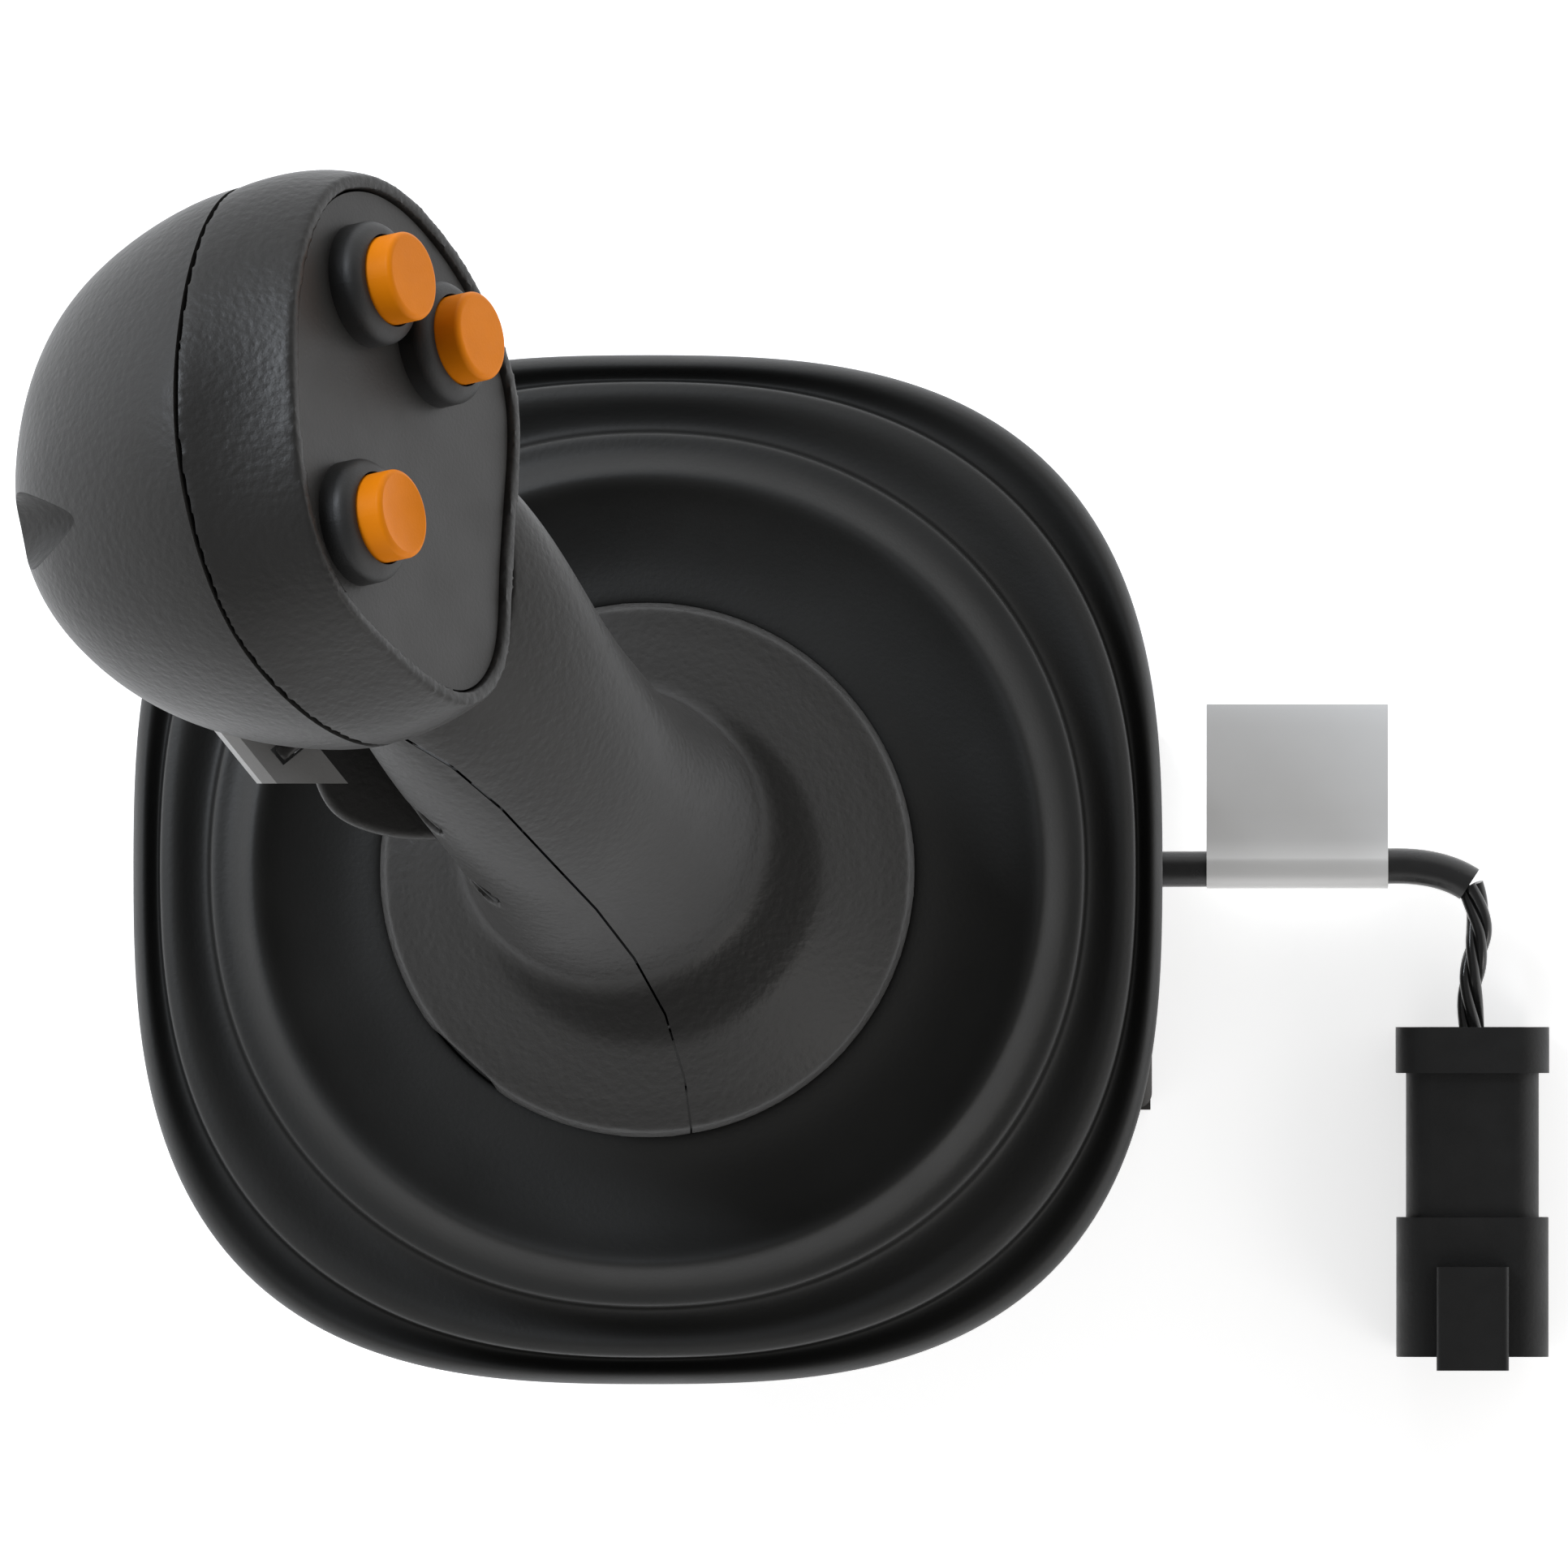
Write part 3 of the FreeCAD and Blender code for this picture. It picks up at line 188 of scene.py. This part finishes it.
finishLooks = {
    "housing": {"dark": (0.020, 0.020, 0.021), "light": (0.030, 0.030, 0.031), "patch": 0.02,
                "rough": (0.5, 0.62), "grain": 0.0005, "depth": 0.00006},
    "flange_metal": {"dark": (0.42, 0.43, 0.44), "light": (0.52, 0.53, 0.54), "patch": 0.015,
                     "rough": (0.28, 0.42), "grain": 0.0006, "depth": 0.00002, "metal": 1.0,
                     "stretch": (0.1, 1.0, 1.0)},
    "steel": {"dark": (0.40, 0.40, 0.41), "light": (0.52, 0.52, 0.53), "patch": 0.006,
              "rough": (0.22, 0.36), "grain": 0.0004, "depth": 0.00001, "metal": 1.0},
    "rubber": {"dark": (0.012, 0.012, 0.012), "light": (0.020, 0.020, 0.019), "patch": 0.01,
               "rough": (0.6, 0.75), "grain": 0.0004, "depth": 0.00003},
    "gaiter_rubber": {"dark": (0.0095, 0.0095, 0.0090), "light": (0.0125, 0.0125, 0.0118), "patch": 0.045,
                      "rough": (0.50, 0.60), "grain": 0.0007, "depth": 0.00004, "specular": 0.45},
    "boot_rubber": {"dark": (0.007, 0.007, 0.007), "light": (0.010, 0.010, 0.010), "patch": 0.012,
                    "rough": (0.5, 0.6), "grain": 0.0004, "depth": 0.00003},
    "seal_rubber": {"dark": (0.008, 0.008, 0.008), "light": (0.013, 0.013, 0.013), "patch": 0.012,
                    "rough": (0.55, 0.65), "grain": 0.0005, "depth": 0.00003},
    "grip_plastic": {"dark": (0.0165, 0.0158, 0.0150), "light": (0.0205, 0.0197, 0.0187), "patch": 0.04,
                     "rough": (0.38, 0.44), "grain": 0.0006, "depth": 0.00005,
                     "pebble": 0.0011, "pebbleDepth": 0.00007, "specular": 0.28},
    "panel_plastic": {"dark": (0.021, 0.0200, 0.0188), "light": (0.025, 0.0238, 0.0225), "patch": 0.03,
                      "rough": (0.42, 0.5), "grain": 0.0006, "depth": 0.00003, "specular": 0.3},
    "trigger_plastic": {"dark": (0.150, 0.148, 0.144), "light": (0.175, 0.172, 0.167), "patch": 0.01,
                        "rough": (0.36, 0.46), "grain": 0.0005, "depth": 0.00003},
    "box_plastic": {"dark": (0.036, 0.033, 0.031), "light": (0.044, 0.041, 0.038), "patch": 0.02,
                    "rough": (0.5, 0.6), "grain": 0.0006, "depth": 0.00005},
    "button_orange": {"dark": (0.64, 0.180, 0.002), "light": (0.69, 0.198, 0.003), "patch": 0.006,
                      "rough": (0.42, 0.50), "grain": 0.0004, "depth": 0.00002, "specular": 0.08},
    "connector_plastic": {"dark": (0.0045, 0.0045, 0.0045), "light": (0.0065, 0.0065, 0.0065),
                          "patch": 0.012, "rough": (0.46, 0.56), "grain": 0.0006, "depth": 0.00004},
    "cable_skin": {"dark": (0.020, 0.020, 0.020), "light": (0.028, 0.028, 0.028), "patch": 0.01,
                   "rough": (0.20, 0.28), "grain": 0.0008, "depth": 0.00003},
    "wire_skin": {"dark": (0.010, 0.010, 0.010), "light": (0.015, 0.015, 0.015), "patch": 0.004,
                  "rough": (0.16, 0.26), "grain": 0.0005, "depth": 0.00001, "coat": 0.4},
    "label_film": {"dark": (0.84, 0.84, 0.835), "light": (0.90, 0.90, 0.895), "patch": 0.02,
                   "rough": (0.16, 0.20), "grain": 0.006, "depth": 0.000004, "metal": 0.05, "coat": 0.3},
    "wear_plastic": {"dark": (0.03, 0.03, 0.03), "light": (0.05, 0.05, 0.05), "patch": 0.008,
                     "rough": (0.4, 0.5), "grain": 0.0005, "depth": 0.00002},
    "bronze": {"dark": (0.42, 0.28, 0.12), "light": (0.55, 0.38, 0.18), "patch": 0.004,
               "rough": (0.35, 0.5), "grain": 0.0003, "depth": 0.00002, "metal": 1.0},
    "circuit_board": {"dark": (0.010, 0.085, 0.030), "light": (0.016, 0.12, 0.042), "patch": 0.01,
                      "rough": (0.25, 0.4), "grain": 0.0008, "depth": 0.00002},
    "chip": {"dark": (0.012, 0.012, 0.012), "light": (0.020, 0.020, 0.020), "patch": 0.004,
             "rough": (0.45, 0.55), "grain": 0.0003, "depth": 0.00002},
    "magnet": {"dark": (0.55, 0.55, 0.56), "light": (0.62, 0.62, 0.63), "patch": 0.004,
               "rough": (0.15, 0.25), "grain": 0.0003, "depth": 0.00001, "metal": 1.0},
}
finishes = {name: moulded(name, look) for name, look in finishLooks.items()}
print("finishes ready")


def wear(piece, finishName):
    piece.data.materials.clear()
    piece.data.materials.append(finishes[finishName])


# The cable: its jacket, then four wires that twist to the connector.
cableSettings = {
    "route": [(66.0, 0.0, 10.7), (80.0, 0.0, 10.7), (97.0, 0.3, 10.7), (110.8, 0.6, 10.7),
              (114.9, -2.1, 10.7)],
    "wireRoute": [(115.0, -2.2, 10.7), (116.6, -6.8, 10.7), (115.7, -12.2, 11.0), (114.7, -17.6, 10.8),
                  (115.3, -23.0, 10.7)],
    "radius": 2.5, "wires": 4, "wireRadius": 0.8, "wireSpread": 1.36, "wirePinch": 0.12, "turns": 0.85,
    "exit": (71.5, 0.0, 10.7), "length": 0.0495, "crease": 50.0,
}


def newCurve(name, form, places):
    data = bpy.data.curves.new(name, "CURVE")
    data.dimensions = "3D"
    spline = data.splines.new(form)
    spline.points.add(len(places) - 1)
    for point, place in zip(spline.points, places):
        point.co = (*place, 1.0)
    curve = bpy.data.objects.new(name, data)
    bpy.context.scene.collection.objects.link(curve)
    return curve


def makeSpline(name, points):
    curve = newCurve(name, "NURBS", [Vector(point) * mm for point in points])
    spline = curve.data.splines[0]
    spline.order_u = 3
    spline.use_endpoint_u = True
    spline.resolution_u = 16
    return curve


def splineLine(curve):
    bpy.context.view_layer.update()
    depsgraph = bpy.context.evaluated_depsgraph_get()
    mesh = bpy.data.meshes.new_from_object(curve.evaluated_get(depsgraph))
    line = [vertex.co.copy() for vertex in mesh.vertices]
    bpy.data.meshes.remove(mesh)
    return line


def roundOut(curve, radius, resolution):
    curve.data.bevel_depth = radius
    curve.data.bevel_resolution = resolution
    curve.data.use_fill_caps = True


def makeTube(name, line, radius, crease):
    curve = newCurve(name, "POLY", line)
    roundOut(curve, radius, 5)
    pick(curve)
    bpy.ops.object.convert(target="MESH")
    bpy.ops.object.shade_smooth_by_angle(angle=math.radians(crease))
    return bpy.context.object


def twistPath(line, settings, k):
    # one wire's path: it turns round the guide line and closes in a little midway
    last = len(line) - 1
    path = []
    for i, place in enumerate(line):
        ahead = (line[min(i + 1, last)] - line[max(i - 1, 0)]).normalized()
        side = ahead.cross(Vector((0.0, 0.0, 1.0))).normalized()
        up = side.cross(ahead)
        share = i / last
        turn = 2 * math.pi * (settings["turns"] * share + k / settings["wires"])
        closing = settings["wirePinch"] * math.sin(math.pi * share)
        spread = settings["wireRadius"] * mm * (settings["wireSpread"] - closing)
        path.append(place + side * (spread * math.cos(turn)) + up * (spread * math.sin(turn)))
    return path


def makeCable(settings):
    jacket = makeSpline("cableJacket", settings["route"])
    roundOut(jacket, settings["radius"] * mm, 8)
    wear(jacket, "cable_skin")
    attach(jacket, "base")
    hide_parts("cable_jacket")

    guide = makeSpline("wireGuide", settings["wireRoute"])
    line = splineLine(guide)
    bpy.data.objects.remove(guide)
    for k in range(settings["wires"]):
        path = twistPath(line, settings, k)
        strand = makeTube("wire%d" % (k + 1), path, settings["wireRadius"] * mm, settings["crease"])
        wear(strand, "wire_skin")
        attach(strand, "base")
    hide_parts("cable_wires")


makeCable(cableSettings)
print("cable done")


# The printed film round the cable: a close wrap and its flat flag.
labelSettings = {
    "start": 78.1, "length": 25.4, "centre": (0.25, 10.7), "around": 2.95, "flagEnd": 23.1, "film": 0.22,
    "steps": 40, "leave": 0.45, "draw": 1.6, "closeBy": 2.2, "wrapLift": 0.893, "filmLift": 0.9,
    "crease": 40.0,
}


def makeLabel(settings):
    y, z = settings["centre"]
    r = settings["around"]
    leave = settings["leave"]
    clearSelection()
    bpy.ops.mesh.primitive_circle_add(
        vertices=settings["steps"], radius=r * mm, fill_type="NOTHING",
        location=(settings["start"] * mm, y * mm, z * mm), rotation=(0, math.pi / 2, 0))
    label = bpy.context.object
    label.name = "cableLabel"
    settle(label)
    # the loop is drawn out to one side into two touching films
    for vertex in label.data.vertices:
        away = (vertex.co.y / mm - y) / r
        if away > leave:
            along = (away - leave) / (1 - leave)
            drawn = along ** settings["draw"] * (settings["flagEnd"] - y - leave * r)
            vertex.co.y = (y + leave * r + drawn) * mm
            top = 1 if vertex.co.z / mm > z + 1e-4 else -1
            reach = max(0.0, 1.0 - along * settings["closeBy"])
            lift = settings["wrapLift"] * r * reach ** 2
            lift += settings["film"] * (1 - reach) * settings["filmLift"]
            vertex.co.z = (z + top * lift) * mm if away < 0.999 else z * mm
    pick(label)
    bpy.ops.object.mode_set(mode="EDIT")
    bpy.ops.mesh.select_all(action="SELECT")
    bpy.ops.mesh.extrude_region_move(TRANSFORM_OT_translate={"value": (settings["length"] * mm, 0, 0)})
    bpy.ops.object.mode_set(mode="OBJECT")
    facesOutward(label)
    wall = label.modifiers.new("film", "SOLIDIFY")
    wall.thickness = settings["film"] * mm
    wall.offset = -1.0
    applyModifiers(label)
    bpy.ops.object.shade_smooth_by_angle(angle=math.radians(settings["crease"]))
    wear(label, "label_film")
    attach(label, "base")
    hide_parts("cable_label")


makeLabel(labelSettings)
print("label done")


# The gaiter: rings of half width, squareness and height, from the rim to the neck.
gaiterSettings = {
    "rim": [
        (71.7, 2.87, 56.6), (71.7, 2.87, 57.2), (71.7, 2.87, 61.6), (71.55, 2.87, 63.2), (71.15, 2.86, 64.6),
        (70.5, 2.82, 65.6), (69.8, 2.75, 65.5), (69.2, 2.68, 64.6), (68.6, 2.60, 63.9), (68.15, 2.50, 63.9),
        (67.95, 2.46, 64.6), (67.9, 2.46, 69.6), (67.85, 2.46, 70.5), (67.6, 2.45, 70.9), (67.0, 2.44, 71.2),
        (66.2, 2.42, 71.5), (65.2, 2.38, 71.3), (63.6, 2.28, 70.3), (62.2, 2.21, 69.9), (61.3, 2.16, 70.2),
        (60.95, 2.13, 71.0), (60.85, 2.13, 75.6), (60.8, 2.13, 76.5), (60.5, 2.13, 76.9), (59.9, 2.12, 77.1),
        (58.4, 2.11, 77.3), (57.0, 2.08, 78.4), (55.9, 2.06, 79.8), (54.9, 2.05, 80.4), (53.7, 2.04, 79.8),
        (52.2, 2.03, 78.2), (50.0, 2.0, 76.6), (46.5, 2.0, 75.3), (43.0, 2.0, 74.7), (40.0, 2.0, 74.9),
        (37.0, 2.0, 75.4)],
    "fold": [(37.0, 2.0, 75.4), (35.5, 2.0, 76.0), (34.0, 2.0, 76.8), (32.5, 2.0, 77.8), (31.0, 2.0, 79.0)],
    "neck": [(31.0, 2.0, 79.0), (29.0, 2.0, 80.6), (26.0, 2.0, 83.5), (24.0, 2.0, 86.0), (22.8, 2.0, 88.6),
             (22.35, 2.0, 91.0), (22.3, 2.0, 93.6)],
    "sides": 64, "wall": 1.4,
}


ringRise = 0.001


def growRings(name, rings, sides, wall):
    # rings are stacked one rise apart first, so that a vertex's height tells which ring it belongs to
    clearSelection()
    bpy.ops.mesh.primitive_circle_add(vertices=sides, radius=rings[0][0] * mm, fill_type="NOTHING")
    piece = bpy.context.object
    piece.name = name
    bpy.ops.object.mode_set(mode="EDIT")
    bpy.ops.mesh.select_all(action="SELECT")
    for k in range(len(rings) - 1):
        bpy.ops.mesh.extrude_edges_move(TRANSFORM_OT_translate={"value": (0, 0, ringRise)})
    bpy.ops.object.mode_set(mode="OBJECT")
    for vertex in piece.data.vertices:
        half, power, height = rings[round(vertex.co.z / ringRise)]
        turn = math.atan2(vertex.co.y, vertex.co.x)
        reach = (abs(math.cos(turn)) ** power + abs(math.sin(turn)) ** power) ** (-1.0 / power)
        vertex.co = Vector((half * reach * math.cos(turn), half * reach * math.sin(turn), height)) * mm
    facesOutward(piece)
    skin = piece.modifiers.new("wall", "SOLIDIFY")
    skin.thickness = wall * mm
    skin.offset = -1.0
    smooth = piece.modifiers.new("smooth", "SUBSURF")
    smooth.levels = 2
    smooth.render_levels = 2
    applyModifiers(piece)
    bpy.ops.object.shade_smooth()
    wear(piece, "gaiter_rubber")
    return piece


def makeGaiter(settings):
    rim, fold, neck = [
        growRings("gaiter" + part.capitalize(), settings[part], settings["sides"], settings["wall"])
        for part in ("rim", "fold", "neck")]
    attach(rim, "base")
    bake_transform(fold)
    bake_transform(neck)
    for piece in (rim, fold, neck):
        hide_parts("gaiter")


makeGaiter(gaiterSettings)
print("gaiter done")


def copyPart(node, name):
    piece = nodes[node].copy()
    piece.data = nodes[node].data.copy()
    piece.name = name
    piece.parent = None
    for key in list(piece.keys()):
        del piece[key]
    bpy.context.scene.collection.objects.link(piece)
    pick(piece)
    bpy.ops.object.mode_set(mode="EDIT")
    bpy.ops.mesh.select_all(action="SELECT")
    bpy.ops.mesh.remove_doubles(threshold=0.000005)
    bpy.ops.mesh.customdata_custom_splitnormals_clear()
    bpy.ops.object.mode_set(mode="OBJECT")
    return piece


# Grip shells: both are grown into one body, its hard joins are rubbed down, and the seam is cut again.
gripSettings = {
    "voxel": 0.6, "swell": 0.25, "softPasses": 70, "softPush": 0.5, "skinPasses": 3, "skinPush": 0.4,
    "gap": 0.34,
    "seam": [(4.0, -60.0), (5.6, -46.0), (6.1, -36.0), (5.2, -29.0), (2.5, -20.0), (-1.8, -12.2),
             (-7.0, -5.4), (-13.2, 1.2), (-20.0, 8.5), (-26.8, 14.3), (-33.0, 18.0), (-42.0, 25.5),
             (-52.0, 36.0), (-80.0, 66.0)],
    "seamSide": (0.74, 0.67, 0.0), "farCorners": [(-140.0, 90.0), (-140.0, -90.0)],
    "seamLow": 90.0, "seamRise": 170.0, "crease": 48.0,
}
creaseSettings = {
    "height": 16.0, "band": 10.0, "reach": 35.0, "fade": 4.0, "centre": (-3.0, 3.0), "crispTurn": 35.0,
    "crispWide": 50.0, "gain": 1.5, "crispShare": 0.85,
}


def creaseWeight(place, low):
    # strong where the stalk runs into the skirt, weak at the palm side's crisp edge
    c = creaseSettings
    reach = math.hypot(place.x, place.y)
    foot = max(0.0, 1.0 - abs(place.z - low - c["height"]) / c["band"])
    foot *= max(0.0, min(1.0, (c["reach"] - reach) / c["fade"]))
    turn = math.degrees(math.atan2(place.y - c["centre"][1], place.x - c["centre"][0]))
    crisp = max(0.0, 1.0 - abs(turn - c["crispTurn"]) / c["crispWide"])
    return min(1.0, c["gain"] * foot) * (1.0 - c["crispShare"] * crisp)


headOut = -Vector(next(j["axis"] for j in frame["joints"] if j["name"] == "button_1_press"))
capFront = max(vertex.co.dot(headOut) for vertex in nodes["head_cap"].data.vertices)


def makeFingerRoom(settings, shift):
    # everything on the finger side of the seam and behind the head's front part
    move = Vector(settings["seamSide"]) * shift
    line = [Vector((x, y, 0.0)) + move for x, y in settings["seam"]]
    line += [Vector((x, y, 0.0)) for x, y in settings["farCorners"]]
    form = bmesh.new()
    ring = [form.verts.new((point + Vector((0, 0, settings["seamLow"]))) * mm) for point in line]
    base = form.faces.new(ring)
    top = bmesh.ops.extrude_face_region(form, geom=[base])
    raised = [v for v in top["geom"] if isinstance(v, bmesh.types.BMVert)]
    bmesh.ops.translate(form, verts=raised, vec=(0, 0, settings["seamRise"] * mm))
    everything = form.verts[:] + form.edges[:] + form.faces[:]
    front = headOut * (capFront + shift * mm)
    cut = bmesh.ops.bisect_plane(
        form, geom=everything, plane_co=front, plane_no=headOut, clear_outer=True)
    rim = [e for e in cut["geom_cut"] if isinstance(e, bmesh.types.BMEdge)]
    bmesh.ops.contextual_create(form, geom=rim)
    bmesh.ops.recalc_face_normals(form, faces=form.faces)
    mesh = bpy.data.meshes.new("fingerRoom")
    form.to_mesh(mesh)
    form.free()
    room = bpy.data.objects.new("fingerRoom", mesh)
    bpy.context.scene.collection.objects.link(room)
    return room


def growGrip(settings):
    palm = copyPart("palm_shell", "gripBody")
    finger = copyPart("finger_shell", "fingerCopy")
    clearSelection()
    finger.select_set(True)
    palm.select_set(True)
    bpy.context.view_layer.objects.active = palm
    bpy.ops.object.join()
    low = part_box("palm_shell")[0].z / mm
    swell = palm.modifiers.new("swell", "DISPLACE")
    swell.strength = settings["swell"] * mm
    swell.mid_level = 0.0
    voxels = palm.modifiers.new("voxels", "REMESH")
    voxels.mode = "VOXEL"
    voxels.voxel_size = settings["voxel"] * mm
    applyModifiers(palm)
    back = palm.modifiers.new("back", "DISPLACE")
    back.strength = -settings["swell"] * mm
    back.mid_level = 0.0
    applyModifiers(palm)
    soft = palm.vertex_groups.new(name="soft")
    for vertex in palm.data.vertices:
        soft.add([vertex.index], creaseWeight(vertex.co / mm, low), "REPLACE")
    rub = palm.modifiers.new("rub", "SMOOTH")
    rub.factor = settings["softPush"]
    rub.iterations = settings["softPasses"]
    rub.vertex_group = "soft"
    even = palm.modifiers.new("even", "SMOOTH")
    even.factor = settings["skinPush"]
    even.iterations = settings["skinPasses"]
    applyModifiers(palm)
    palm.vertex_groups.clear()
    return palm


def splitGrip(body, operation, shift, name, node, settings):
    shell = body.copy()
    shell.data = body.data.copy()
    shell.name = name
    bpy.context.scene.collection.objects.link(shell)
    room = makeFingerRoom(settings, shift)
    cut = shell.modifiers.new("cut", "BOOLEAN")
    cut.operation = operation
    cut.solver = "EXACT"
    cut.object = room
    applyModifiers(shell)
    bpy.data.objects.remove(room)
    bpy.ops.object.shade_smooth_by_angle(angle=math.radians(settings["crease"]))
    wear(shell, "grip_plastic")
    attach(shell, "lever")
    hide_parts(node)
    print(name, len(shell.data.polygons), "faces")


gripBody = growGrip(gripSettings)
print("grip body", len(gripBody.data.polygons), "faces")
splitGrip(gripBody, "DIFFERENCE", 0.5 * gripSettings["gap"], "palmGrip", "palm_shell", gripSettings)
splitGrip(gripBody, "INTERSECT", -0.5 * gripSettings["gap"], "fingerGrip", "finger_shell", gripSettings)
bpy.data.objects.remove(gripBody)
print("grip shells done")


# The parts that keep their own shape take the finish of their slot.
for part in frame["record"]["subparts"]:
    wear(nodes[part["node"]], part["material_slot"])
finishes["blackened_steel"] = moulded("blackened_steel", {
    "dark": (0.010, 0.010, 0.010), "light": (0.020, 0.020, 0.020), "patch": 0.004, "rough": (0.35, 0.5),
    "grain": 0.0004, "depth": 0.00001, "metal": 0.6})
wear(nodes["grip_screws"], "blackened_steel")
print("parts dressed")


# Studio: a pale floor, white walls that darken overhead, a cool wide lamp at the left and a weak one right.
studioSettings = {
    "floor": 8.0, "floorColour": (0.93, 0.93, 0.93), "floorGlow": 0.60, "floorDrop": 0.0002,
    "wall": 1.15, "overhead": 0.20, "fade": (0.30, 0.80), "aim": (0.0, 0.02, 0.1),
    "lamps": [
        {"name": "wideLamp", "place": (-2.1, 1.7, 1.9), "size": 1.3, "power": 80.0,
         "colour": (0.86, 0.92, 1.0)},
        {"name": "sideLamp", "place": (1.9, -1.6, 1.5), "size": 1.2, "power": 10.0,
         "colour": (1.0, 0.97, 0.94)},
    ],
}


def makeSky(settings):
    world = bpy.data.worlds.new("sky")
    world.use_nodes = True
    tree = world.node_tree
    back = tree.nodes["Background"]
    back.inputs["Color"].default_value = (1.0, 1.0, 1.0, 1.0)
    split = tree.nodes.new("ShaderNodeSeparateXYZ")
    tree.links.new(tree.nodes.new("ShaderNodeTexCoord").outputs["Generated"], split.inputs["Vector"])
    fade = addRange(tree, split.outputs["Z"], settings["wall"], settings["overhead"], *settings["fade"])
    tree.links.new(fade, back.inputs["Strength"])
    bpy.context.scene.world = world


def makeStudio(settings):
    clearSelection()
    bpy.ops.mesh.primitive_plane_add(size=settings["floor"], location=(0, 0, -settings["floorDrop"]))
    floor = bpy.context.object
    floor.name = "floor"
    settle(floor)
    paper = bpy.data.materials.new("paper")
    paper.use_nodes = True
    shader = paper.node_tree.nodes["Principled BSDF"]
    shader.inputs["Base Color"].default_value = (*settings["floorColour"], 1.0)
    shader.inputs["Emission Color"].default_value = (1.0, 1.0, 1.0, 1.0)
    shader.inputs["Emission Strength"].default_value = settings["floorGlow"]
    shader.inputs["Roughness"].default_value = 0.9
    shader.inputs["Specular IOR Level"].default_value = 0.1
    floor.data.materials.append(paper)
    makeSky(settings)
    for lamp in settings["lamps"]:
        data = bpy.data.lights.new(lamp["name"], "AREA")
        data.energy = lamp["power"]
        data.size = lamp["size"]
        data.color = lamp["colour"]
        light = bpy.data.objects.new(lamp["name"], data)
        light.location = lamp["place"]
        aim = Vector(settings["aim"]) - Vector(lamp["place"])
        light.rotation_euler = aim.to_track_quat("-Z", "Y").to_euler()
        bpy.context.scene.collection.objects.link(light)
    bpy.context.scene.view_settings.view_transform = "Standard"


makeStudio(studioSettings)
print("studio ready")

clearSelection()
